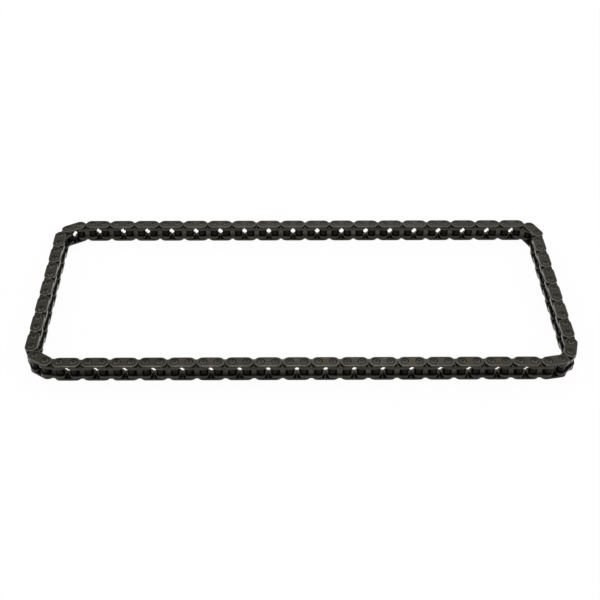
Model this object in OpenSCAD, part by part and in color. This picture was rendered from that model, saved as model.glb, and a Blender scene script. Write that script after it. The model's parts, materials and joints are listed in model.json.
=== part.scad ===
// Endless roller chain for a camshaft drive, lying on its side plates in a rounded rectangle.
// Outer and inner links take turns round the loop. An outer link is two outer plates riveted
// to two pins. An inner link is two thicker inner plates pressed on two bushes, and a roller
// turns on each bush. Each pin turns in the bush of the next inner link.
// The origin is the middle of the loop, on the chain's own mid-plane. Links are counted
// counter-clockwise, seen from above, from the right end of the back run.

/* [Pitch and plates] */
// Distance between neighbouring pins
pitch = 8; // [7.7:0.1:9]
// Height of every side plate, across the link
plate_height = 7.1; // [6.6:0.1:7.4]
// Gap between the ends of neighbouring plates in a straight run
plate_end_gap = 0.14; // [0.1:0.02:0.6]
// Thickness of an outer plate
outer_plate_thickness = 1.4; // [1:0.05:1.6]
// Thickness of an inner plate
inner_plate_thickness = 1.9; // [1.2:0.05:2.1]
// Bevel along both edges of a plate
plate_bevel = 0.2; // [0.1:0.05:0.3]
// Free width between the inner plates, where the sprocket's teeth go
inner_width = 4.7; // [4:0.1:6]

/* [Pins] */
// Diameter of a pin
pin_diameter = 2.7; // [2.4:0.05:2.8]
// How far a riveted pin end stands out of the outer plate
pin_proud = 0.2; // [0.15:0.05:0.4]
// How far the riveted end spreads past the pin's own radius
rivet_spread = 0.12; // [0.05:0.01:0.2]
// Diameter of the punch mark in a pin end
punch_diameter = 1.1; // [0.6:0.1:1.4]
// Depth of the punch mark
punch_depth = 0.4; // [0.2:0.05:0.6]
// Diameter of the staking ring pressed into the outer plate round the pin
stake_diameter = 4.1; // [3.7:0.1:4.6]
// Width of the staking ring
stake_width = 0.45; // [0.3:0.05:0.6]
// Depth of the staking ring
stake_depth = 0.18; // [0.1:0.02:0.3]

/* [Bushes and rollers] */
// Gap all round between pin and bush
pin_clearance = 0.05; // [0.03:0.01:0.08]
// Wall of a bush
bush_wall = 0.5; // [0.4:0.05:0.55]
// How far a bush stands out of the inner plate
bush_proud = 0.05; // [0.02:0.01:0.1]
// Gap between the end of a bush and the outer plate
bush_end_clearance = 0.05; // [0.03:0.01:0.1]
// Outer diameter of a roller
roller_diameter = 5.2; // [5:0.05:5.6]
// Gap all round between bush and roller
roller_clearance = 0.07; // [0.04:0.01:0.1]
// Gap between the end of a roller and the inner plate
roller_end_clearance = 0.1; // [0.05:0.01:0.2]
// Bevel round the ends of bushes and rollers
ring_bevel = 0.15; // [0.05:0.05:0.2]

/* [Loop] */
// Number of links in the straight back run, an odd number
long_run_links = 35; // [31:2:39]
// Number of links in the straight left run, an odd number
short_run_links = 13; // [11:2:15]
// Heading of the left run, in degrees from the X axis
left_run_heading = 271.5; // [270.5:0.25:272]
// Heading of the right run
right_run_heading = 90; // [89.5:0.25:91]

/* [Corner links] */
// Heading of the first link of the back left corner
back_left_first_heading = 187; // [184:0.5:190]
// Heading of its second link
back_left_second_heading = 210; // [206:0.5:214]
// Heading of its third link
back_left_third_heading = 243.5; // [240:0.5:247]
// Heading of the first link of the front left corner
front_left_first_heading = 295; // [291:0.5:298]
// Heading of its second link
front_left_second_heading = 327.5; // [324:0.5:331]
// Heading of its third link
front_left_third_heading = 350; // [346:0.5:354]
// Heading of the first link of the front right corner
front_right_first_heading = 10.5; // [7:0.5:14]
// Heading of its second link
front_right_second_heading = 45.5; // [42:0.5:49]
// Heading of its third link
front_right_third_heading = 73.5; // [70:0.5:77]
// Heading of the first link of the back right corner
back_right_first_heading = 84.5; // [82:0.5:88]

/* [Hidden] */
$fn = 48;
// How far a cutter reaches past the face that it cuts
past = 0.1;

// Heights above the mid-plane, from the middle outwards
inner_plate_z = inner_width / 2;
bush_end_z = inner_plate_z + inner_plate_thickness + bush_proud;
outer_plate_z = bush_end_z + bush_end_clearance;
outer_face_z = outer_plate_z + outer_plate_thickness;
pin_end_z = outer_face_z + pin_proud;
roller_end_z = inner_plate_z - roller_end_clearance;

// Radii that fit one on another
pin_radius = pin_diameter / 2;
bush_bore_radius = pin_radius + pin_clearance;
bush_radius = bush_bore_radius + bush_wall;
roller_bore_radius = bush_radius + roller_clearance;
roller_radius = roller_diameter / 2;
rivet_radius = pin_radius + rivet_spread;
plate_radius = plate_height / 2;
// How far the middle of a plate's round end stands past the pin
end_shift = (pitch - plate_end_gap) / 2 - plate_radius;
stake_radius = stake_diameter / 2;

// Links of each straight run and each three-link corner, as [first, last]
corner_links = 3;
back_run = [0, long_run_links - 1];
back_left = back_run[1] + 1;
left_run = [back_left + corner_links, back_left + corner_links + short_run_links - 1];
front_left = left_run[1] + 1;
front_run = [front_left + corner_links, front_left + corner_links + long_run_links - 2];
front_right = front_run[1] + 1;
right_run = [front_right + corner_links, front_right + corner_links + short_run_links - 2];
back_right = right_run[1] + 1;

function along(heading) = [cos(heading), sin(heading)];
function total(vectors) = [for (axis = [0, 1]) [for (v = vectors) v[axis]] * [for (v = vectors) 1]];
function straight(run, heading) = [for (link = [run[0]:run[1]]) heading];

set_headings = concat(
    straight(back_run, 180),
    [back_left_first_heading, back_left_second_heading, back_left_third_heading],
    straight(left_run, left_run_heading),
    [front_left_first_heading, front_left_second_heading, front_left_third_heading],
    straight(front_run, 0),
    [front_right_first_heading, front_right_second_heading, front_right_third_heading],
    straight(right_run, right_run_heading),
    [back_right_first_heading]);

// The last two links close the loop: they are the two equal sides of a triangle on the gap
gap_left = -total([for (heading = set_headings) along(heading)]);
gap_heading = atan2(gap_left[1], gap_left[0]);
gap_half_angle = acos(norm(gap_left) / 2);
headings = concat(set_headings, [gap_heading - gap_half_angle, gap_heading + gap_half_angle]);

// Pin places on a path from [0, 0], then moved so that the loop's box is centred on the origin
path = [for (link = 0, place = [0, 0]; link < len(headings);
    place = place + pitch * along(headings[link]), link = link + 1) place];
function middle(values) = (min(values) + max(values)) / 2;
loop_middle = [middle([for (place = path) place[0]]), middle([for (place = path) place[1]])];
pin_places = [for (place = path) place - loop_middle];

// Puts a link's shape, drawn from its first pin along +X, on each link from first to last
// that has the wanted parity: 0 for outer links and 1 for inner links
module on_links(run, parity)
    for (link = [run[0]:run[1]])
        if (link % 2 == parity)
            translate(pin_places[link]) rotate(headings[link]) children();

// Puts a shape on a link's two pins, or on those named in ends
module on_pins(ends = [0, 1]) for (end = ends) translate([end * pitch, 0, 0]) children();

// Puts a shape above the mid-plane and its mirror image below
module on_both_sides() for (side = [0, 1]) mirror([0, 0, side]) children();

// Half of a plate's outline, or all of it: a flat slab of the given half width, bevelled
module bevelled_slab(from, to, thickness)
    polygon([[from, 0], [to - plate_bevel, 0], [to, plate_bevel], [to, thickness - plate_bevel],
        [to - plate_bevel, thickness], [from, thickness]]);

// A straight-sided plate with round ends that reach past both pins, its underside at height 0
module plate_blank(thickness) {
    translate([-end_shift, 0, 0]) rotate(90) rotate_extrude(angle = 180)
        bevelled_slab(0, plate_radius, thickness);
    translate([pitch + end_shift, 0, 0]) rotate(-90) rotate_extrude(angle = 180)
        bevelled_slab(0, plate_radius, thickness);
    translate([-end_shift, 0, 0]) rotate([90, 0, 90]) linear_extrude(pitch + 2 * end_shift) {
        bevelled_slab(0, plate_radius, thickness);
        mirror([1, 0]) bevelled_slab(0, plate_radius, thickness);
    }
}

// The ring-shaped groove that staking leaves in an outer plate round each pin
module stake_ring()
    rotate_extrude() translate([stake_radius, outer_plate_thickness])
        polygon([[-stake_width / 2, past], [-stake_width / 2, 0], [0, -stake_depth],
            [stake_width / 2, 0], [stake_width / 2, past]]);

// A tube along the pin's axis, centred on the mid-plane, bevelled round its outer ends
module ring(bore_radius, radius, end_z)
    rotate_extrude()
        polygon([[bore_radius, -end_z], [radius - ring_bevel, -end_z], [radius, ring_bevel - end_z],
            [radius, end_z - ring_bevel], [radius - ring_bevel, end_z], [bore_radius, end_z]]);

module outer_plates(run)
    color([0.27, 0.265, 0.245]) on_links(run, 0) on_both_sides()
        translate([0, 0, outer_plate_z]) difference() {
            plate_blank(outer_plate_thickness);
            on_pins() translate([0, 0, -past])
                cylinder(h = outer_plate_thickness + 2 * past, r = pin_radius);
            on_pins() stake_ring();
        }

module inner_plates(run)
    color([0.25, 0.24, 0.22]) on_links(run, 1) on_both_sides()
        translate([0, 0, inner_plate_z]) difference() {
            plate_blank(inner_plate_thickness);
            on_pins() translate([0, 0, -past])
                cylinder(h = inner_plate_thickness + 2 * past, r = bush_radius);
        }

// Upper half of a pin's profile: shank, spread riveted end and punch mark
module half_pin()
    polygon([[0, 0], [pin_radius, 0], [pin_radius, outer_face_z], [rivet_radius, outer_face_z],
        [rivet_radius, outer_face_z + pin_proud / 3], [pin_radius - pin_proud / 3, pin_end_z],
        [punch_diameter / 2, pin_end_z], [0, pin_end_z - punch_depth]]);

module pins(run)
    color([0.36, 0.35, 0.33]) on_links(run, 0) on_pins() rotate_extrude() {
        half_pin();
        mirror([0, 1]) half_pin();
    }

module bushes(run)
    color([0.3, 0.28, 0.26]) on_links(run, 1) on_pins()
        ring(bush_bore_radius, bush_radius, bush_end_z);

module rollers(run, ends = [0, 1])
    color([0.2, 0.17, 0.15]) on_links(run, 1) on_pins(ends)
        ring(roller_bore_radius, roller_radius, roller_end_z);

// One link of a corner, as a run of a single link, counted from 1
function link(corner, count) = [corner + count - 1, corner + count - 1];

outer_plates(back_run);  // back_run_outer_plates
inner_plates(back_run);  // back_run_inner_plates
pins(back_run);  // back_run_pins
bushes(back_run);  // back_run_bushes
rollers(back_run);  // back_run_rollers
outer_plates(left_run);  // left_run_outer_plates
inner_plates(left_run);  // left_run_inner_plates
pins(left_run);  // left_run_pins
bushes(left_run);  // left_run_bushes
rollers(left_run);  // left_run_rollers
outer_plates(front_run);  // front_run_outer_plates
inner_plates(front_run);  // front_run_inner_plates
pins(front_run);  // front_run_pins
bushes(front_run);  // front_run_bushes
rollers(front_run);  // front_run_rollers
outer_plates(right_run);  // right_run_outer_plates
inner_plates(right_run);  // right_run_inner_plates
pins(right_run);  // right_run_pins
bushes(right_run);  // right_run_bushes
rollers(right_run);  // right_run_rollers
inner_plates(link(back_left, 1));  // back_left_link_1_plates
bushes(link(back_left, 1));  // back_left_link_1_bushes
rollers(link(back_left, 1), [0]);  // back_left_link_1_roller_a
rollers(link(back_left, 1), [1]);  // back_left_link_1_roller_b
outer_plates(link(back_left, 2));  // back_left_link_2_plates
pins(link(back_left, 2));  // back_left_link_2_pins
inner_plates(link(back_left, 3));  // back_left_link_3_plates
bushes(link(back_left, 3));  // back_left_link_3_bushes
rollers(link(back_left, 3), [0]);  // back_left_link_3_roller_a
rollers(link(back_left, 3), [1]);  // back_left_link_3_roller_b
inner_plates(link(front_left, 1));  // front_left_link_1_plates
bushes(link(front_left, 1));  // front_left_link_1_bushes
rollers(link(front_left, 1), [0]);  // front_left_link_1_roller_a
rollers(link(front_left, 1), [1]);  // front_left_link_1_roller_b
outer_plates(link(front_left, 2));  // front_left_link_2_plates
pins(link(front_left, 2));  // front_left_link_2_pins
inner_plates(link(front_left, 3));  // front_left_link_3_plates
bushes(link(front_left, 3));  // front_left_link_3_bushes
rollers(link(front_left, 3), [0]);  // front_left_link_3_roller_a
rollers(link(front_left, 3), [1]);  // front_left_link_3_roller_b
outer_plates(link(front_right, 1));  // front_right_link_1_plates
pins(link(front_right, 1));  // front_right_link_1_pins
inner_plates(link(front_right, 2));  // front_right_link_2_plates
bushes(link(front_right, 2));  // front_right_link_2_bushes
rollers(link(front_right, 2), [0]);  // front_right_link_2_roller_a
rollers(link(front_right, 2), [1]);  // front_right_link_2_roller_b
outer_plates(link(front_right, 3));  // front_right_link_3_plates
pins(link(front_right, 3));  // front_right_link_3_pins
inner_plates(link(back_right, 1));  // back_right_link_1_plates
bushes(link(back_right, 1));  // back_right_link_1_bushes
rollers(link(back_right, 1), [0]);  // back_right_link_1_roller_a
rollers(link(back_right, 1), [1]);  // back_right_link_1_roller_b
outer_plates(link(back_right, 2));  // back_right_link_2_plates
pins(link(back_right, 2));  // back_right_link_2_pins
inner_plates(link(back_right, 3));  // back_right_link_3_plates
bushes(link(back_right, 3));  // back_right_link_3_bushes
rollers(link(back_right, 3), [0]);  // back_right_link_3_roller_a
rollers(link(back_right, 3), [1]);  // back_right_link_3_roller_b
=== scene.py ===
"""Cam chain: an endless chain of riveted steel plates, pins, bushes and rollers, lying on its side."""

import json
import math
import random

import bpy
from mathutils import Matrix, Vector

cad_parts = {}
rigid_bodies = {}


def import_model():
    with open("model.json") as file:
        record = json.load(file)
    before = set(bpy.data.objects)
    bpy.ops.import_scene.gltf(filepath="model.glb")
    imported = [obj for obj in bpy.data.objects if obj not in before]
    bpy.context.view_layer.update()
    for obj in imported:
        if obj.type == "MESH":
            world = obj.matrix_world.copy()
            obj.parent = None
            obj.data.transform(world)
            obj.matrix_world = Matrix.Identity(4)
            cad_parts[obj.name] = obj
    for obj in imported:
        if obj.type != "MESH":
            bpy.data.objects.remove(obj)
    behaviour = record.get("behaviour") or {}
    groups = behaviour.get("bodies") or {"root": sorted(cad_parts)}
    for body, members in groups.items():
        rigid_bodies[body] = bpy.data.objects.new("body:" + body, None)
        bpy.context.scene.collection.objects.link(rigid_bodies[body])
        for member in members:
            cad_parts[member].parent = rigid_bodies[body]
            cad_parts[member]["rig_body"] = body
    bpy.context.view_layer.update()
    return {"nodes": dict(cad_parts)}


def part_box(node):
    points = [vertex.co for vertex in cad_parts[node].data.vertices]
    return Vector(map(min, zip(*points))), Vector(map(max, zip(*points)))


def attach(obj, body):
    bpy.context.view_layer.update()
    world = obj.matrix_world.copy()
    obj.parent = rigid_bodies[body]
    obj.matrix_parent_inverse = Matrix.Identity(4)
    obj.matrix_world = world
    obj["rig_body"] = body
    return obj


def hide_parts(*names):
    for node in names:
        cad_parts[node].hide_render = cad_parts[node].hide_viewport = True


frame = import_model()

bl_info = {
    "name": "Cam chain",
    "version": (1, 0, 0),
    "blender": (4, 5, 0),
    "location": "View3D > Sidebar > Cam chain",
    "description": "Models the plates, pins, bushes and rollers of an endless cam chain on its frame",
    "category": "Object",
}

MM = 0.001

# The pins are numbered round the loop from the right end of the back run. Link n joins pin n to pin
# n + 1, even links are outer links and odd links are inner links. A run is given by its first and last
# pin, and a corner by its first link.
PIN_COUNT = 106
RUNS = {"back_run": (0, 35), "left_run": (38, 51), "front_run": (54, 88), "right_run": (91, 103)}
CORNERS = {"back_left_link": 35, "front_left_link": 51, "front_right_link": 88, "back_right_link": 103}
CORNER_LINKS = 3


def on_outer_link(link):
    """Whether a link is an outer one, with pins. The others have bushes and rollers."""
    return link % 2 == 0


def middle_of(node):
    """The middle of a node's box at rest."""
    low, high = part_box(node)
    return (low + high) / 2


def corner_pins():
    """The pins at the corner links, each where the frame's rollers and pins stand.

    A roller stands on one pin, so an inner link gives both of its pins. The pins of an outer link are
    one node, and its middle is halfway between them, so the far pin follows from the near one.
    """
    places = {}
    for corner, first in CORNERS.items():
        for step in range(CORNER_LINKS):
            link = first + step
            name = f"{corner}_{step + 1}"
            if not on_outer_link(link):
                places[link] = middle_of(name + "_roller_a")
                places[(link + 1) % PIN_COUNT] = middle_of(name + "_roller_b")
    for corner, first in CORNERS.items():
        for step in range(CORNER_LINKS):
            link = first + step
            if on_outer_link(link):
                far = (link + 1) % PIN_COUNT
                sum_of_pins = middle_of(f"{corner}_{step + 1}_pins") * 2
                if link in places and far not in places:
                    places[far] = sum_of_pins - places[link]
                if far in places and link not in places:
                    places[link] = sum_of_pins - places[far]
    return places


def all_pins():
    """The middle of every pin, in metres. A straight run's pins stand evenly between its end pins."""
    places = corner_pins()
    for first, last in RUNS.values():
        start, end = places[first], places[last]
        for pin in range(first + 1, last):
            places[pin] = start.lerp(end, (pin - first) / (last - first))
    return [places[pin] for pin in range(PIN_COUNT)]


PINS = all_pins()


def half_depth(node):
    """Height of a node above the middle of the chain, which is the plane of z = 0."""
    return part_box(node)[1].z


def half_width(node):
    """Half of the width of a node of a run that lies along X."""
    low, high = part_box(node)
    return (high.y - low.y) / 2


def length(name, description, default):
    """A size in metres that a user may change."""
    return bpy.props.FloatProperty(
        name=name, description=description, default=default, min=0.0, precision=5,
        unit="LENGTH", subtype="DISTANCE",
    )


def colour(name, description, default):
    """A colour that a user may change."""
    return bpy.props.FloatVectorProperty(
        name=name, description=description, default=default, size=3, min=0.0, max=1.0,
        subtype="COLOR",
    )


class ChainSizes(bpy.types.PropertyGroup):
    """Sizes of the five kinds of piece, measured on the frame where it shows them."""

    pitch: length("Pitch", "From one pin to the next", (PINS[1] - PINS[0]).length)
    plate_half_height: length(
        "Plate half height", "Half of a plate's height, which is also the radius of its ends",
        half_width("back_run_outer_plates"),
    )
    plate_end_reach: length(
        "Plate end reach", "From a pin's middle to the end of its plate",
        PINS[RUNS["front_run"][0]].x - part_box("front_run_outer_plates")[0].x,
    )
    outer_plate_top: length(
        "Outer plate top", "Outer face of an outer plate, from the middle of the chain",
        half_depth("back_run_outer_plates"),
    )
    outer_plate_thickness: length("Outer plate thickness", "Thickness of an outer plate", 1.4 * MM)
    inner_plate_top: length(
        "Inner plate top", "Outer face of an inner plate, from the middle of the chain",
        half_depth("back_run_inner_plates"),
    )
    inner_plate_thickness: length("Inner plate thickness", "Thickness of an inner plate", 1.9 * MM)
    plate_edge: length("Plate edge", "Width of the worn edge round a plate's face", 0.24 * MM)
    pin_radius: length("Pin radius", "Radius of a pin's shank", 1.35 * MM)
    pin_head_radius: length(
        "Pin head radius", "Radius of a pin's riveted head", half_width("back_run_pins"),
    )
    pin_end: length(
        "Pin end", "Outer face of a riveted head, from the middle of the chain",
        half_depth("back_run_pins"),
    )
    pin_crown_radius: length("Pin crown radius", "Radius of the flat top of a riveted head", 1.22 * MM)
    punch_radius: length("Punch mark radius", "Radius of the dished punch mark in a pin's head", 1.0 * MM)
    punch_depth: length("Punch mark depth", "Depth of the punch mark in a pin's head", 0.15 * MM)
    stake_inside: length("Staking ring inside", "Inner radius of the groove staked round a pin", 1.45 * MM)
    stake_deepest: length("Staking ring deepest", "Radius at which the groove is deepest", 1.75 * MM)
    stake_outside: length("Staking ring outside", "Outer radius of the groove staked round a pin", 2.4 * MM)
    stake_depth: length("Staking ring depth", "Depth of the groove staked round a pin", 0.15 * MM)
    bush_radius: length("Bush radius", "Outside of a bush", half_width("back_run_bushes"))
    bush_bore: length("Bush bore", "Radius of the hole in a bush", 1.4 * MM)
    bush_end: length(
        "Bush end", "End of a bush, from the middle of the chain", half_depth("back_run_bushes"),
    )
    roller_radius: length("Roller radius", "Outside of a roller", half_width("back_run_rollers"))
    roller_bore: length("Roller bore", "Radius of the hole in a roller", 1.97 * MM)
    roller_end: length(
        "Roller end", "End of a roller, from the middle of the chain", half_depth("back_run_rollers"),
    )
    roller_edge: length("Roller edge", "Width of the eased edge of a roller", 0.15 * MM)


class ChainFinish(bpy.types.PropertyGroup):
    """Colours of the oiled black oxide on the steel and of the steel where it has worn through, with
    painted shade in the grooves and punch marks and painted highlights on the rims, the pushed-up metal
    round the pins and the pin heads.
    """

    plate_olive: colour("Plate olive", "The commonest tint of a plate's face", (0.0249, 0.0228, 0.0162))
    plate_brown: colour("Plate brown", "The browner tint of a plate's face", (0.0268, 0.0225, 0.0163))
    plate_grey: colour("Plate grey", "The greyer tint of a plate's face", (0.0233, 0.0222, 0.0180))
    cut_edge: colour("Cut edge", "The dark oxide on a plate's punched edge", (0.040, 0.0388, 0.0342))
    # Nearly black: oil and oxide kept in the staked grooves, and for the most part painted shade in the
    # hollow.
    groove: colour("Groove", "The dark oxide that stays in the staked grooves", (0.0040, 0.0037, 0.0029))
    # Light bare steel: real wear in the rubbed spots of a face, and on the eased rim also a painted
    # highlight along the edge.
    wear_and_rim_highlight: colour("Worn rim", "A plate's edge, where the oxide is rubbed thin", (0.118, 0.1144, 0.0988))
    # Light: the barer metal that the staking punch pushes up, with a painted highlight on it and on the
    # slope of a pin's head.
    pushed_up_lip_and_highlight: colour("Collar", "The metal that the staking punch pushes up", (0.068, 0.0640, 0.0530))
    # Darker than a pin's head: painted shade in the dish of the punch mark.
    punch_dish_painted_shade: colour("Punch mark", "The dish in the middle of a pin's head", (0.010, 0.0094, 0.0076))
    pin_steel: colour("Pin steel", "The head of a pin", (0.0208, 0.0190, 0.0145))
    roller_black: colour("Roller black", "The oiled oxide on rollers and bushes", (0.006, 0.0054, 0.0048))


class ChainStage(bpy.types.PropertyGroup):
    """How the chain is looked at, and the floor that it lies on."""

    elevation: bpy.props.FloatProperty(
        name="Elevation", description="Height of the camera above the horizon",
        default=math.radians(40.543), subtype="ANGLE",
    )
    turn: bpy.props.FloatProperty(
        name="Turn", description="Turn of the camera round the chain",
        default=math.radians(-0.428), subtype="ANGLE",
    )
    roll: bpy.props.FloatProperty(
        name="Roll", description="Turn of the camera round its own axis",
        default=math.radians(0.14), subtype="ANGLE",
    )
    distance: length("Distance", "From the camera to the point it looks at", 0.57955)
    lens: bpy.props.FloatProperty(
        name="Lens", description="Focal length of the camera in millimetres", default=57.17, min=1.0,
    )
    floor_size: length("Floor size", "Side of the square floor", 6.0)


# Steps in a quarter of a plate's round end, and in the whole circle of a hole or a turned piece.
OUTER_END_STEPS = 5
INNER_END_STEPS = 4
RING_STEPS = 12
ROLLER_STEPS = 16
SMOOTH_ANGLE = math.radians(40)

# A pattern is made in millimetres and copied in metres. Corners closer than this are one.
TOUCHING = 1e-4

# How far upright the normal of a face stands: 1 is a level face and 0 an upright wall.
LEVEL = 0.995
NEARLY_LEVEL = 0.95
ROUGHLY_LEVEL = 0.9
NEARLY_UPRIGHT = 0.3

# The order of a plate's materials and of a pin's.
PLATE_FACE, PLATE_RIM, PLATE_EDGE, GROOVE_WALL, COLLAR_WALL = range(5)
HEAD_FLAT, PUNCH_MARK, HEAD_SLOPE = range(3)


def in_mm(value):
    return value / MM


def nothing_selected():
    """Leaves edit mode and deselects every object."""
    if bpy.context.mode != "OBJECT":
        bpy.ops.object.mode_set(mode="OBJECT")
    bpy.ops.object.select_all(action="DESELECT")


def select_faces(piece, chosen):
    """Selects the faces of a piece in edit mode for which chosen(middle, normal) holds."""
    bpy.ops.mesh.select_mode(type="FACE")
    bpy.ops.mesh.select_all(action="DESELECT")
    bpy.ops.object.mode_set(mode="OBJECT")
    for face in piece.data.polygons:
        face.select = bool(chosen(face.center, face.normal))
    bpy.ops.object.mode_set(mode="EDIT")


def select_edges(piece, chosen):
    """Selects the edges of a piece in edit mode for which chosen(one end, other end) holds."""
    bpy.ops.mesh.select_mode(type="EDGE")
    bpy.ops.mesh.select_all(action="DESELECT")
    bpy.ops.object.mode_set(mode="OBJECT")
    corners = piece.data.vertices
    for edge in piece.data.edges:
        one, other = (corners[corner].co for corner in edge.vertices)
        edge.select = bool(chosen(one, other))
    bpy.ops.object.mode_set(mode="EDIT")


def close_mesh():
    """Joins doubled corners and points every face outwards."""
    bpy.ops.mesh.select_all(action="SELECT")
    bpy.ops.mesh.remove_doubles(threshold=TOUCHING)
    bpy.ops.mesh.normals_make_consistent(inside=False)


def only_selected(piece):
    """Leaves edit mode and selects one object, which is then the active one."""
    nothing_selected()
    piece.select_set(True)
    bpy.context.view_layer.objects.active = piece


def plate_blank(name, sizes, low, high, end_steps):
    """A plate as it leaves the punch, with straight sides and round ends. Leaves it in edit mode."""
    height = in_mm(sizes.plate_half_height) * 2
    end_middle = in_mm(sizes.pitch) / 2 + in_mm(sizes.plate_end_reach) - height / 2
    nothing_selected()
    bpy.ops.mesh.primitive_plane_add(size=height, location=(0, 0, 0))
    blank = bpy.context.object
    blank.name = name
    bpy.ops.object.mode_set(mode="EDIT")
    bpy.ops.transform.translate(value=(0, 0, low))
    for side in (-1, 1):
        select_edges(blank, lambda one, other: min(side * one.x, side * other.x) > 0)
        bpy.ops.transform.translate(value=(side * end_middle, 0, 0))
    bpy.ops.mesh.select_mode(type="VERT")
    bpy.ops.mesh.select_all(action="SELECT")
    bpy.ops.mesh.bevel(offset=height / 2, segments=end_steps, affect="VERTICES")
    bpy.ops.mesh.select_all(action="SELECT")
    bpy.ops.mesh.remove_doubles(threshold=TOUCHING)
    bpy.ops.mesh.select_mode(type="FACE")
    bpy.ops.mesh.select_all(action="SELECT")
    bpy.ops.mesh.extrude_region_move(TRANSFORM_OT_translate={"value": (0, 0, high - low)})
    close_mesh()
    return blank


def ease_rim(plate, level, width):
    """Bevels the rim of a plate's flat face that lies at the given level. The plate is in edit mode."""
    select_edges(
        plate, lambda one, other: abs(one.z - level) < TOUCHING and abs(other.z - level) < TOUCHING
    )
    bpy.ops.mesh.bevel(offset=width, segments=1, affect="EDGES")


def drill(plate, radius, distance, reach):
    """Cuts a hole through each end of a plate. The drill reaches past both faces."""
    for side in (-1, 1):
        nothing_selected()
        bpy.ops.mesh.primitive_cylinder_add(
            vertices=RING_STEPS, radius=radius, depth=reach, location=(side * distance, 0, 0)
        )
        cut_away(plate, bpy.context.object)


def cut_away(plate, cutter):
    """Takes the cutter's form out of a plate and removes the cutter."""
    only_selected(plate)
    bpy.ops.object.modifier_add(type="BOOLEAN")
    cut = plate.modifiers[-1]
    cut.operation = "DIFFERENCE"
    cut.solver = "EXACT"
    cut.object = cutter
    bpy.ops.object.modifier_apply(modifier=cut.name)
    only_selected(cutter)
    bpy.ops.object.delete()


def stake(plate, sizes):
    """Cuts the groove that the staking punch leaves in an outer plate round each pin.

    The cutter is a ring of four sides, flattened, with its lowest corners pulled in to where the
    groove is deepest.
    """
    middle_radius = in_mm(sizes.stake_inside + sizes.stake_outside) / 2
    half_groove = in_mm(sizes.stake_outside) - middle_radius
    flatten = in_mm(sizes.stake_depth) / half_groove
    pull_in = in_mm(sizes.stake_deepest) / middle_radius
    for side in (-1, 1):
        pin = (side * in_mm(sizes.pitch) / 2, 0, in_mm(sizes.outer_plate_top))
        nothing_selected()
        bpy.ops.mesh.primitive_torus_add(
            location=pin, major_segments=RING_STEPS, minor_segments=4, major_radius=middle_radius,
            minor_radius=half_groove,
        )
        ring = bpy.context.object
        bpy.ops.object.mode_set(mode="EDIT")
        bpy.ops.mesh.select_all(action="SELECT")
        bpy.ops.transform.resize(value=(1, 1, flatten))
        select_edges(ring, lambda one, other: max(one.z, other.z) < -TOUCHING)
        bpy.ops.transform.resize(value=(pull_in, pull_in, 1), center_override=pin)
        cut_away(plate, ring)
    keep_groove_sharp(plate, sizes)


def keep_groove_sharp(plate, sizes):
    """Marks the circles at a groove's lips and bottom, so that its walls aren't shaded round."""
    bottom = in_mm(sizes.outer_plate_top - sizes.stake_depth) - TOUCHING
    reach = in_mm(sizes.stake_outside) + TOUCHING
    half_pitch = in_mm(sizes.pitch) / 2

    def round_a_pin(end):
        return end.z > bottom and math.hypot(abs(end.x) - half_pitch, end.y) < reach

    only_selected(plate)
    bpy.ops.object.mode_set(mode="EDIT")
    select_edges(
        plate,
        lambda one, other: abs(one.z - other.z) < TOUCHING and round_a_pin(one) and round_a_pin(other),
    )
    bpy.ops.mesh.mark_sharp()
    bpy.ops.object.mode_set(mode="OBJECT")


def finish_pattern(piece, materials, choose):
    """Gives each face of a pattern its material and smooths it up to its real corners."""
    only_selected(piece)
    for material in materials:
        piece.data.materials.append(material)
    for face in piece.data.polygons:
        face.material_index = choose(face.center, face.normal)
    bpy.ops.object.shade_smooth_by_angle(angle=SMOOTH_ANGLE)
    return piece


def outer_plate_pattern(sizes, materials):
    """An outer plate with one eased rim, two pin holes and a staked groove round each."""
    top = in_mm(sizes.outer_plate_top)
    bottom = top - in_mm(sizes.outer_plate_thickness)
    half_pitch = in_mm(sizes.pitch) / 2
    plate = plate_blank("outer_plate_pattern", sizes, bottom, top, OUTER_END_STEPS)
    ease_rim(plate, top, in_mm(sizes.plate_edge))
    drill(plate, radius=in_mm(sizes.pin_radius), distance=half_pitch, reach=3 * top)
    stake(plate, sizes)

    def outer_plate_finish(middle, normal):
        if abs(normal.z) > LEVEL:
            return PLATE_FACE
        if abs(normal.z) < NEARLY_UPRIGHT:
            return PLATE_EDGE
        from_pin = math.hypot(abs(middle.x) - half_pitch, middle.y)
        if from_pin > in_mm(sizes.stake_outside):
            return PLATE_RIM
        # The groove's outer wall takes the painted shade, and the pushed-up wall inside it a painted
        # highlight.
        return GROOVE_WALL if from_pin > in_mm(sizes.stake_deepest) else COLLAR_WALL

    return finish_pattern(plate, materials, outer_plate_finish)


def inner_plate_pattern(sizes, materials):
    """An inner plate with both rims eased and two bush holes."""
    top = in_mm(sizes.inner_plate_top)
    bottom = top - in_mm(sizes.inner_plate_thickness)
    plate = plate_blank("inner_plate_pattern", sizes, bottom, top, INNER_END_STEPS)
    ease_rim(plate, top, in_mm(sizes.plate_edge))
    ease_rim(plate, bottom, in_mm(sizes.plate_edge))
    drill(plate, radius=in_mm(sizes.bush_radius), distance=in_mm(sizes.pitch) / 2, reach=3 * top)

    def inner_plate_finish(middle, normal):
        return PLATE_FACE if abs(normal.z) > NEARLY_UPRIGHT else PLATE_EDGE

    return finish_pattern(plate, materials, inner_plate_finish)


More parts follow.
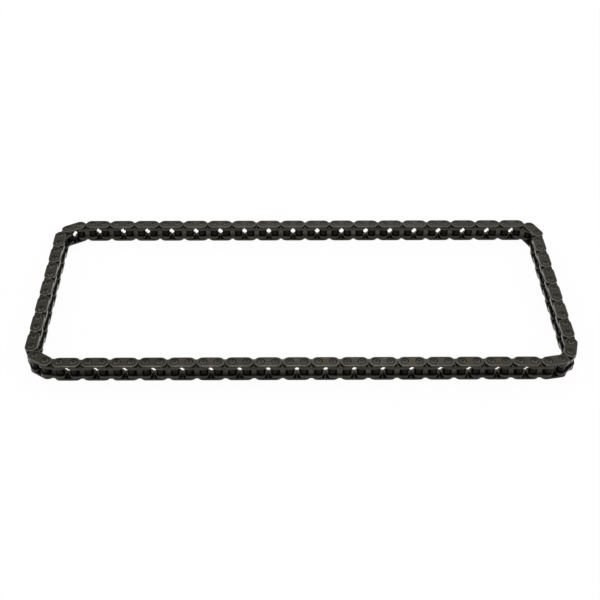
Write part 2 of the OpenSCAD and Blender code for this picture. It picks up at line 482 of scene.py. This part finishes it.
def pin_pattern(sizes, materials):
    """A pin with both ends riveted over: a low head with a punch mark in the middle."""
    shoulder = in_mm(sizes.outer_plate_top)
    end = in_mm(sizes.pin_end)
    shank = in_mm(sizes.pin_radius)
    head = in_mm(sizes.pin_head_radius)
    crown = in_mm(sizes.pin_crown_radius)
    punch = in_mm(sizes.punch_radius)
    nothing_selected()
    bpy.ops.mesh.primitive_cylinder_add(
        vertices=RING_STEPS, radius=shank, depth=2 * shoulder, location=(0, 0, 0)
    )
    pin = bpy.context.object
    pin.name = "pin_pattern"
    bpy.ops.object.mode_set(mode="EDIT")
    for side in (-1, 1):
        select_faces(pin, lambda middle, normal: side * middle.z > shoulder - TOUCHING)
        spread = head / shank
        bpy.ops.mesh.extrude_region_move(TRANSFORM_OT_translate={"value": (0, 0, 0)})
        bpy.ops.transform.resize(value=(spread, spread, 1), center_override=(0, 0, side * shoulder))
        bpy.ops.mesh.extrude_region_move(
            TRANSFORM_OT_translate={"value": (0, 0, side * (end - shoulder))}
        )
        inward = crown / head
        bpy.ops.transform.resize(value=(inward, inward, 1), center_override=(0, 0, side * end))
        bpy.ops.mesh.extrude_region_move(TRANSFORM_OT_translate={"value": (0, 0, 0)})
        inward = punch / crown
        bpy.ops.transform.resize(value=(inward, inward, 1), center_override=(0, 0, side * end))
        bpy.ops.mesh.extrude_region_move(
            TRANSFORM_OT_translate={"value": (0, 0, -side * in_mm(sizes.punch_depth))}
        )
        bpy.ops.mesh.merge(type="CENTER")
    close_mesh()

    def pin_finish(middle, normal):
        # The dish takes the darker colour, painted shade in the hollow.
        if middle.xy.length < punch:
            return PUNCH_MARK
        # The slope of the head takes the pushed-up metal's colour, a painted highlight on the rim.
        return HEAD_SLOPE if abs(normal.z) < NEARLY_LEVEL else HEAD_FLAT

    return finish_pattern(pin, materials, pin_finish)


def tube_pattern(name, materials, steps, radius, bore, end, edge=0.0):
    """A turned tube of one material, bored through, with its outer rims eased if an edge is given.

    The flats of the bore are at its size. The end is how far the tube reaches each way.
    """
    nothing_selected()
    bpy.ops.mesh.primitive_cylinder_add(vertices=steps, radius=radius, depth=2 * end, location=(0, 0, 0))
    tube = bpy.context.object
    tube.name = name
    bpy.ops.object.mode_set(mode="EDIT")
    select_faces(tube, lambda middle, normal: abs(normal.z) > ROUGHLY_LEVEL)
    wall = radius * math.cos(math.pi / steps) - bore
    bpy.ops.mesh.inset(thickness=wall, use_individual=True)
    bpy.ops.mesh.bridge_edge_loops()
    if edge > 0:
        select_edges(
            tube,
            lambda one, other: min(one.xy.length, other.xy.length) > bore + TOUCHING
            and abs(one.z - other.z) < TOUCHING,
        )
        bpy.ops.mesh.bevel(offset=edge, segments=1, affect="EDGES")
    close_mesh()
    return finish_pattern(tube, materials, lambda middle, normal: 0)


def heading_of(link):
    """Direction of a link, from its first pin to its second, as an angle about Z."""
    way = PINS[(link + 1) % PIN_COUNT] - PINS[link % PIN_COUNT]
    return math.atan2(way.y, way.x)


def plate_places(link):
    """Where the upper and the lower plate of a link go."""
    middle = (PINS[link] + PINS[(link + 1) % PIN_COUNT]) / 2
    upper = Matrix.Translation(middle) @ Matrix.Rotation(heading_of(link), 4, "Z")
    return [upper, upper @ Matrix.Rotation(math.pi, 4, "X")]


def pin_places(link):
    """Where the two pieces go that stand on a link's two pins."""
    turned = Matrix.Rotation(heading_of(link), 4, "Z")
    return [Matrix.Translation(PINS[pin % PIN_COUNT]) @ turned for pin in (link, link + 1)]


def links_of_run(run):
    first, last = RUNS[run]
    return range(first, last)


def nodes_with_plates(outer):
    """Each node of outer or inner plates, with the places of its plates."""
    found = {}
    kind = "outer_plates" if outer else "inner_plates"
    for run in RUNS:
        links = [link for link in links_of_run(run) if on_outer_link(link) == outer]
        found[f"{run}_{kind}"] = [place for link in links for place in plate_places(link)]
    for corner, first in CORNERS.items():
        for step in range(CORNER_LINKS):
            if on_outer_link(first + step) == outer:
                found[f"{corner}_{step + 1}_plates"] = plate_places(first + step)
    return found


def nodes_on_pins(kind, outer):
    """Each node of pins, bushes or rollers, with the places of its pieces."""
    found = {}
    for run in RUNS:
        links = [link for link in links_of_run(run) if on_outer_link(link) == outer]
        found[f"{run}_{kind}"] = [place for link in links for place in pin_places(link)]
    for corner, first in CORNERS.items():
        for step in range(CORNER_LINKS):
            link = first + step
            if on_outer_link(link) != outer:
                continue
            name = f"{corner}_{step + 1}"
            if kind == "rollers":
                found[name + "_roller_a"], found[name + "_roller_b"] = (
                    [place] for place in pin_places(link)
                )
            else:
                found[f"{name}_{kind}"] = pin_places(link)
    return found


# Two values that every copy of a pattern is given by chance, from 0 to 1, for its material to read.
BATCH_TINT = "batch_tint"
BATCH_SHADE = "batch_shade"


def tint(piece, chance):
    """Gives one copy its own tint and shade of finish."""
    for name in (BATCH_TINT, BATCH_SHADE):
        value = chance.random()
        shade = piece.data.attributes.new(name, "FLOAT", "POINT")
        shade.data.foreach_set("value", [value] * len(piece.data.vertices))


def lay_copies(pattern, nodes, seed):
    """Copies a pattern to every place of every node, and joins each node's copies into one piece.

    The pattern is used up. The seed settles the tint and shade of each copy.
    """
    chance = random.Random(seed)
    to_metres = Matrix.Scale(MM, 4)
    for node, places in nodes.items():
        copies = []
        for place in places:
            only_selected(pattern)
            bpy.ops.object.duplicate()
            copy = bpy.context.object
            copy.matrix_world = place @ to_metres
            tint(copy, chance)
            copies.append(copy)
        nothing_selected()
        for copy in copies:
            copy.select_set(True)
        bpy.context.view_layer.objects.active = copies[0]
        bpy.ops.object.transform_apply(location=True, rotation=True, scale=True)
        if len(copies) > 1:
            bpy.ops.object.join()
        piece = bpy.context.object
        piece.name = "made_" + node
        piece.data.name = piece.name
        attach(piece, frame["nodes"][node]["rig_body"])
        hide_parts(node)
    only_selected(pattern)
    bpy.ops.object.delete()


# The range that most of Blender's noise falls in, and how much of the surface is bare metal.
NOISE = (0.3, 0.7)
METALLIC = 0.9

# How much darker and lighter one copy of a pattern is than another.
FACE_SHADES = (0.82, 1.18)
STEEL_SHADES = (0.84, 1.16)


class Bench:
    """Adds nodes to one material and joins them up."""

    def __init__(self, name):
        found = bpy.data.materials.get(name)
        self.fresh = found is None
        self.material = found or bpy.data.materials.new(name)
        if self.fresh:
            self.material.use_nodes = True
            self.material.node_tree.nodes.clear()

    def add(self, kind, **sockets):
        node = self.material.node_tree.nodes.new(kind)
        for name, value in sockets.items():
            node.inputs[name.replace("_", " ")].default_value = value
        return node

    def join(self, out, into):
        self.material.node_tree.links.new(out, into)

    def spots(self, to_the_metre, detail, roughness=0.5):
        """Noise on the piece's own coordinates."""
        place = self.add("ShaderNodeTexCoord")
        noise = self.add("ShaderNodeTexNoise", Scale=to_the_metre, Detail=detail, Roughness=roughness)
        self.join(place.outputs["Object"], noise.inputs["Vector"])
        return noise.outputs["Fac"]

    def varied(self, to_the_metre, detail, onto):
        """A value that noise moves about in a range."""
        return self.spread(self.spots(to_the_metre, detail), NOISE, onto)

    def own(self, attribute):
        """The value that one copy of a pattern was given."""
        node = self.add("ShaderNodeAttribute")
        node.attribute_name = attribute
        return node.outputs["Fac"]

    def own_shade(self, onto):
        """A factor in a range, which makes one copy darker or lighter than another."""
        return self.spread(self.own(BATCH_SHADE), (0.0, 1.0), onto)

    def spread(self, value, span, onto):
        """Moves a value from one range onto another. A range is its low and its high end."""
        node = self.add("ShaderNodeMapRange")
        node.inputs["From Min"].default_value, node.inputs["From Max"].default_value = span
        node.inputs["To Min"].default_value, node.inputs["To Max"].default_value = onto
        self.join(value, node.inputs["Value"])
        return node.outputs["Result"]

    def ramp(self, value, stops):
        """The colour that stands at a value, between stops that are each a place and a colour."""
        node = self.add("ShaderNodeValToRGB")
        stop_list = node.color_ramp.elements
        half_way = 0.5
        while len(stop_list) < len(stops):
            stop_list.new(half_way)
        for stop, (at, shade) in zip(stop_list, stops):
            stop.position = at
            stop.color = (*shade, 1.0)
        self.join(value, node.inputs["Fac"])
        return node.outputs["Color"]

    def mix(self, kind, share, first, second):
        """Blends two colours. The share and the colours are sockets or plain values."""
        node = self.add("ShaderNodeMix")
        node.data_type = "RGBA"
        node.blend_type = kind
        for value, name in ((share, "Factor"), (first, "A"), (second, "B")):
            socket = [s for s in node.inputs if s.name == name and s.enabled][0]
            if isinstance(value, bpy.types.NodeSocket):
                self.join(value, socket)
            elif name == "Factor":
                socket.default_value = value
            else:
                socket.default_value = (*value, 1.0)
        return [s for s in node.outputs if s.enabled][0]

    def times(self, first, second):
        """The product of two values."""
        node = self.add("ShaderNodeMath")
        node.operation = "MULTIPLY"
        self.join(first, node.inputs[0])
        self.join(second, node.inputs[1])
        return node.outputs[0]

    def grey(self, value):
        """A value as a grey colour."""
        node = self.add("ShaderNodeCombineColor")
        for channel in node.inputs:
            self.join(value, channel)
        return node.outputs["Color"]

    def finish(self, shade, roughness, grain, depth, strength):
        """Lays the colour and roughness on a metal surface, with a grain of the given depth."""
        surface = self.add("ShaderNodeBsdfPrincipled", Metallic=METALLIC)
        self.join(shade, surface.inputs["Base Color"])
        self.join(roughness, surface.inputs["Roughness"])
        bump = self.add("ShaderNodeBump", Strength=strength, Distance=depth)
        self.join(grain, bump.inputs["Height"])
        self.join(bump.outputs["Normal"], surface.inputs["Normal"])
        out = self.add("ShaderNodeOutputMaterial")
        self.join(surface.outputs["BSDF"], out.inputs["Surface"])
        return self.material


def plate_face_steel(finish):
    """Oiled black oxide on a flat face, with its own tint on each plate, blotches and rubbed spots."""
    bench = Bench("plate_face_steel")
    if not bench.fresh:
        return bench.material
    tint_of_plate = bench.ramp(
        bench.own(BATCH_TINT),
        [(0.0, finish.plate_grey), (0.35, finish.plate_olive), (0.7, finish.plate_olive),
         (1.0, finish.plate_brown)],
    )
    blotches = bench.varied(to_the_metre=420.0, detail=3.0, onto=(0.88, 1.12))
    speckle = bench.varied(to_the_metre=2600.0, detail=2.0, onto=(0.9, 1.1))
    darkening = bench.grey(bench.times(bench.own_shade(FACE_SHADES), blotches))
    shade = bench.mix("MULTIPLY", 1.0, tint_of_plate, darkening)
    shade = bench.mix("MULTIPLY", 1.0, shade, bench.grey(speckle))
    spots = bench.spots(to_the_metre=900.0, detail=4.0, roughness=0.7)
    rubbed = bench.spread(spots, span=(0.62, 0.8), onto=(0.0, 0.35))
    shade = bench.mix("MIX", rubbed, shade, finish.wear_and_rim_highlight)
    roughness = bench.varied(to_the_metre=700.0, detail=4.0, onto=(0.34, 0.5))
    grain = bench.spots(to_the_metre=3200.0, detail=3.0)
    return bench.finish(shade, roughness, grain, depth=0.03 * MM, strength=0.5)


def plate_rim_steel(finish):
    """The eased rim of a plate, where the oxide is rubbed thin in patches, nearly all in the light worn
    colour as a painted highlight along the edge.
    """
    bench = Bench("plate_rim_steel")
    if not bench.fresh:
        return bench.material
    spots = bench.spots(to_the_metre=500.0, detail=4.0, roughness=0.6)
    wear = bench.spread(spots, span=(0.35, 0.65), onto=(0.85, 1.0))
    shade = bench.mix("MIX", wear, finish.plate_olive, finish.wear_and_rim_highlight)
    roughness = bench.varied(to_the_metre=1500.0, detail=3.0, onto=(0.28, 0.42))
    grain = bench.spots(to_the_metre=2400.0, detail=3.0)
    return bench.finish(shade, roughness, grain, depth=0.03 * MM, strength=0.5)


def mottled_steel(name, base, mottle, roughness, depth):
    """Steel of one colour, mottled from spot to spot, and lighter or darker from copy to copy.

    The mottle is the share by which a spot is darker or lighter, the roughness is a range, and the
    depth is that of the grain, in metres.
    """
    bench = Bench(name)
    if not bench.fresh:
        return bench.material
    blotches = bench.varied(to_the_metre=800.0, detail=4.0, onto=(1.0 - mottle, 1.0 + mottle))
    darkening = bench.grey(bench.times(bench.own_shade(STEEL_SHADES), blotches))
    shade = bench.mix("MULTIPLY", 1.0, base, darkening)
    roughness_there = bench.varied(to_the_metre=1500.0, detail=3.0, onto=roughness)
    grain = bench.spots(to_the_metre=2600.0, detail=3.0)
    return bench.finish(shade, roughness_there, grain, depth, strength=0.4)


def plate_edge_steel(finish):
    """The punched edge of a plate, dark with a low shine along it."""
    return mottled_steel(
        "plate_edge_steel", finish.cut_edge, mottle=0.4, roughness=(0.14, 0.22), depth=0.01 * MM,
    )


def groove_oil_and_painted_shade_steel(finish):
    """The outer wall of a staked groove, where the oxide and oil stay, and far darker than the face as
    painted shade in the hollow.
    """
    return mottled_steel(
        "groove_oil_and_painted_shade_steel", finish.groove, mottle=0.4, roughness=(0.34, 0.48), depth=0.02 * MM,
    )


def bare_lip_and_highlight_steel(finish):
    """The metal that the staking punch pushes up against a pin, a little barer than the face and lighter
    still as a painted highlight. The slope of a pin's head takes it too, as a painted highlight on the rim.
    """
    return mottled_steel(
        "bare_lip_and_highlight_steel", finish.pushed_up_lip_and_highlight, mottle=0.3, roughness=(0.3, 0.45), depth=0.02 * MM,
    )


def pin_head_steel(finish):
    """The riveted head of a pin."""
    return mottled_steel(
        "pin_head_steel", finish.pin_steel, mottle=0.3, roughness=(0.3, 0.45), depth=0.03 * MM,
    )


def punch_dish_painted_shade_steel(finish):
    """The dish that the punch leaves in a pin's head, about half as light as the head: painted shade in the
    hollow.
    """
    return mottled_steel(
        "punch_dish_painted_shade_steel", finish.punch_dish_painted_shade, mottle=0.3, roughness=(0.35, 0.5), depth=0.03 * MM,
    )


def oiled_black_steel(finish):
    """The rollers and bushes: nearly black, with a thin sheen of oil."""
    return mottled_steel(
        "oiled_black_steel", finish.roller_black, mottle=0.4, roughness=(0.3, 0.48), depth=0.03 * MM,
    )


def plate_steels(finish):
    """A plate's materials, in the order of PLATE_FACE to COLLAR_WALL."""
    return [
        plate_face_steel(finish), plate_rim_steel(finish), plate_edge_steel(finish),
        groove_oil_and_painted_shade_steel(finish), bare_lip_and_highlight_steel(finish),
    ]


def pin_steels(finish):
    """A pin's materials, in the order of HEAD_FLAT to HEAD_SLOPE."""
    return [pin_head_steel(finish), punch_dish_painted_shade_steel(finish), bare_lip_and_highlight_steel(finish)]


class CHAIN_OT_outer_plates(bpy.types.Operator):
    """Model one staked outer plate and lay it on both sides of every outer link"""

    bl_idname = "cam_chain.outer_plates"
    bl_label = "Outer plates"

    def execute(self, context):
        sizes, finish = context.scene.chain_sizes, context.scene.chain_finish
        pattern = outer_plate_pattern(sizes, plate_steels(finish))
        lay_copies(pattern, nodes_with_plates(outer=True), seed=1)
        return {"FINISHED"}


class CHAIN_OT_inner_plates(bpy.types.Operator):
    """Model one inner plate and lay it on both sides of every inner link"""

    bl_idname = "cam_chain.inner_plates"
    bl_label = "Inner plates"

    def execute(self, context):
        sizes, finish = context.scene.chain_sizes, context.scene.chain_finish
        pattern = inner_plate_pattern(sizes, plate_steels(finish))
        lay_copies(pattern, nodes_with_plates(outer=False), seed=2)
        return {"FINISHED"}


class CHAIN_OT_pins(bpy.types.Operator):
    """Model one riveted pin and set it through every outer link's ends"""

    bl_idname = "cam_chain.pins"
    bl_label = "Pins"

    def execute(self, context):
        sizes, finish = context.scene.chain_sizes, context.scene.chain_finish
        pattern = pin_pattern(sizes, pin_steels(finish))
        lay_copies(pattern, nodes_on_pins("pins", outer=True), seed=3)
        return {"FINISHED"}


class CHAIN_OT_bushes(bpy.types.Operator):
    """Model one bush and press it through every inner link's ends"""

    bl_idname = "cam_chain.bushes"
    bl_label = "Bushes"

    def execute(self, context):
        sizes, finish = context.scene.chain_sizes, context.scene.chain_finish
        pattern = tube_pattern(
            "bush_pattern", [oiled_black_steel(finish)], steps=RING_STEPS,
            radius=in_mm(sizes.bush_radius), bore=in_mm(sizes.bush_bore), end=in_mm(sizes.bush_end),
        )
        lay_copies(pattern, nodes_on_pins("bushes", outer=False), seed=4)
        return {"FINISHED"}


class CHAIN_OT_rollers(bpy.types.Operator):
    """Model one roller and slip it over every bush"""

    bl_idname = "cam_chain.rollers"
    bl_label = "Rollers"

    def execute(self, context):
        sizes, finish = context.scene.chain_sizes, context.scene.chain_finish
        pattern = tube_pattern(
            "roller_pattern", [oiled_black_steel(finish)], steps=ROLLER_STEPS,
            radius=in_mm(sizes.roller_radius), bore=in_mm(sizes.roller_bore),
            end=in_mm(sizes.roller_end), edge=in_mm(sizes.roller_edge),
        )
        lay_copies(pattern, nodes_on_pins("rollers", outer=False), seed=5)
        return {"FINISHED"}


# Each lamp's name, its place and width in metres, and its power in watts.
SOFT_LAMPS = (
    ("lamp_behind", (0.12, 0.95, 1.2), 0.62, 5.2),
    ("lamp_front", (-0.2, -1.05, 1.1), 0.5, 2.2),
    ("lamp_left", (-1.1, 0.1, 1.1), 0.5, 2.2),
    ("lamp_right", (1.1, -0.1, 1.1), 0.5, 2.2),
)
# How strong the even light from all round is, and how pale the floor is under it. FLOOR_GLOW is how
# much of the floor is plain white to the camera. The rest is paint, which keeps a faint shadow.
SURROUNDING_LIGHT = 0.65
FLOOR_PAINT = 0.93
FLOOR_GLOW = 0.96
WHITE = (1.0, 1.0, 1.0, 1.0)

# The point that the camera looks at, how far the frame is shifted, in widths of the frame, how wide
# the sensor is, in millimetres, and the nearest and farthest that the camera sees, in metres.
AIM = Vector((0.000612, -0.002222, 0.0))
FRAME_SHIFT = (-0.0014, -0.0065)
SENSOR_WIDTH = 36.0
NEAREST_AND_FARTHEST = (0.01, 20.0)


def seen_by_camera_or_gloss(nodes, links):
    """1 for a camera, glossy or transmission ray, and 0 for a ray that only lights."""
    path = nodes.new("ShaderNodeLightPath")
    total = path.outputs["Is Camera Ray"]
    for ray in ("Is Glossy Ray", "Is Transmission Ray"):
        larger = nodes.new("ShaderNodeMath")
        larger.operation = "MAXIMUM"
        links.new(total, larger.inputs[0])
        links.new(path.outputs[ray], larger.inputs[1])
        total = larger.outputs[0]
    return total


def white_surroundings(light_level):
    """White to the eye and in the metal, and a plain soft light everywhere else."""
    world = bpy.data.worlds.new("white_surroundings")
    bpy.context.scene.world = world
    world.use_nodes = True
    nodes, links = world.node_tree.nodes, world.node_tree.links
    nodes.clear()
    seen, light = nodes.new("ShaderNodeBackground"), nodes.new("ShaderNodeBackground")
    seen.inputs["Color"].default_value = WHITE
    seen.inputs["Strength"].default_value = 1.0
    light.inputs["Color"].default_value = WHITE
    light.inputs["Strength"].default_value = light_level
    mix, out = nodes.new("ShaderNodeMixShader"), nodes.new("ShaderNodeOutputWorld")
    links.new(seen_by_camera_or_gloss(nodes, links), mix.inputs["Fac"])
    links.new(light.outputs[0], mix.inputs[1])
    links.new(seen.outputs[0], mix.inputs[2])
    links.new(mix.outputs[0], out.inputs["Surface"])


def pale_floor(size, level):
    """A plain pale floor that keeps a faint shadow of the chain."""
    nothing_selected()
    bpy.ops.mesh.primitive_plane_add(size=size, location=(0, 0, level))
    floor = bpy.context.object
    floor.name = "floor"
    bpy.ops.object.transform_apply(location=True, rotation=True, scale=True)
    material = bpy.data.materials.new("floor_white")
    material.use_nodes = True
    nodes, links = material.node_tree.nodes, material.node_tree.links
    nodes.clear()
    paint, glow = nodes.new("ShaderNodeBsdfDiffuse"), nodes.new("ShaderNodeEmission")
    paint.inputs["Color"].default_value = (FLOOR_PAINT, FLOOR_PAINT, FLOOR_PAINT, 1.0)
    glow.inputs["Color"].default_value = WHITE
    glow.inputs["Strength"].default_value = 1.0
    share = nodes.new("ShaderNodeMath")
    share.operation = "MULTIPLY"
    share.inputs[1].default_value = FLOOR_GLOW
    links.new(seen_by_camera_or_gloss(nodes, links), share.inputs[0])
    mix, out = nodes.new("ShaderNodeMixShader"), nodes.new("ShaderNodeOutputMaterial")
    links.new(share.outputs[0], mix.inputs["Fac"])
    links.new(paint.outputs[0], mix.inputs[1])
    links.new(glow.outputs[0], mix.inputs[2])
    links.new(mix.outputs[0], out.inputs["Surface"])
    floor.data.materials.append(material)


def soft_lamp(name, place, size, power):
    """A large soft lamp that shines at the middle of the chain."""
    nothing_selected()
    bpy.ops.object.light_add(type="AREA", location=place)
    lamp = bpy.context.object
    lamp.name = name
    lamp.data.shape = "DISK"
    lamp.data.size = size
    lamp.data.energy = power
    lamp.rotation_euler = Vector(place).to_track_quat("Z", "Y").to_euler()


class CHAIN_OT_stage(bpy.types.Operator):
    """Set the pale floor, the white surroundings, the lamps and the camera"""

    bl_idname = "cam_chain.stage"
    bl_label = "Floor, lamps and camera"

    def execute(self, context):
        stage, sizes = context.scene.chain_stage, context.scene.chain_sizes
        context.scene.view_settings.view_transform = "Standard"
        white_surroundings(SURROUNDING_LIGHT)
        pale_floor(stage.floor_size, -sizes.pin_end)
        for name, place, size, power in SOFT_LAMPS:
            soft_lamp(name, place, size, power)
        back = Vector((
            math.sin(stage.turn) * math.cos(stage.elevation),
            -math.cos(stage.turn) * math.cos(stage.elevation),
            math.sin(stage.elevation),
        ))
        bpy.ops.object.camera_add(location=AIM + back * stage.distance)
        camera = bpy.context.object
        camera.name = "camera"
        level = Matrix.Rotation(math.pi / 2 - stage.elevation, 3, "X")
        turned = Matrix.Rotation(stage.turn, 3, "Z") @ level
        camera.rotation_euler = (turned @ Matrix.Rotation(stage.roll, 3, "Z")).to_euler()
        camera.data.lens = stage.lens
        camera.data.sensor_width = SENSOR_WIDTH
        camera.data.shift_x, camera.data.shift_y = FRAME_SHIFT
        camera.data.clip_start, camera.data.clip_end = NEAREST_AND_FARTHEST
        context.scene.camera = camera
        return {"FINISHED"}


class CHAIN_PT_panel(bpy.types.Panel):
    """The chain's pieces, in the order in which they are made"""

    bl_idname = "CHAIN_PT_panel"
    bl_label = "Cam chain"
    bl_space_type = "VIEW_3D"
    bl_region_type = "UI"
    bl_category = "Cam chain"

    def draw(self, context):
        for step in STEPS:
            self.layout.operator(step.bl_idname)
        for group in (context.scene.chain_sizes, context.scene.chain_finish, context.scene.chain_stage):
            box = self.layout.box()
            for name in group.__annotations__:
                box.prop(group, name)


STEPS = (
    CHAIN_OT_stage,
    CHAIN_OT_outer_plates,
    CHAIN_OT_inner_plates,
    CHAIN_OT_pins,
    CHAIN_OT_bushes,
    CHAIN_OT_rollers,
)
# The name under which the scene holds each group of settings.
GROUPS = {"chain_sizes": ChainSizes, "chain_finish": ChainFinish, "chain_stage": ChainStage}


def register():
    for group in GROUPS.values():
        bpy.utils.register_class(group)
    for name, group in GROUPS.items():
        setattr(bpy.types.Scene, name, bpy.props.PointerProperty(type=group))
    for step in STEPS:
        bpy.utils.register_class(step)
    bpy.utils.register_class(CHAIN_PT_panel)


def unregister():
    bpy.utils.unregister_class(CHAIN_PT_panel)
    for step in reversed(STEPS):
        bpy.utils.unregister_class(step)
    for name in GROUPS:
        delattr(bpy.types.Scene, name)
    for group in GROUPS.values():
        bpy.utils.unregister_class(group)


def main():
    register()
    bpy.ops.cam_chain.stage()
    bpy.ops.cam_chain.outer_plates()
    bpy.ops.cam_chain.inner_plates()
    bpy.ops.cam_chain.pins()
    bpy.ops.cam_chain.bushes()
    bpy.ops.cam_chain.rollers()


if __name__ == "__main__":
    main()
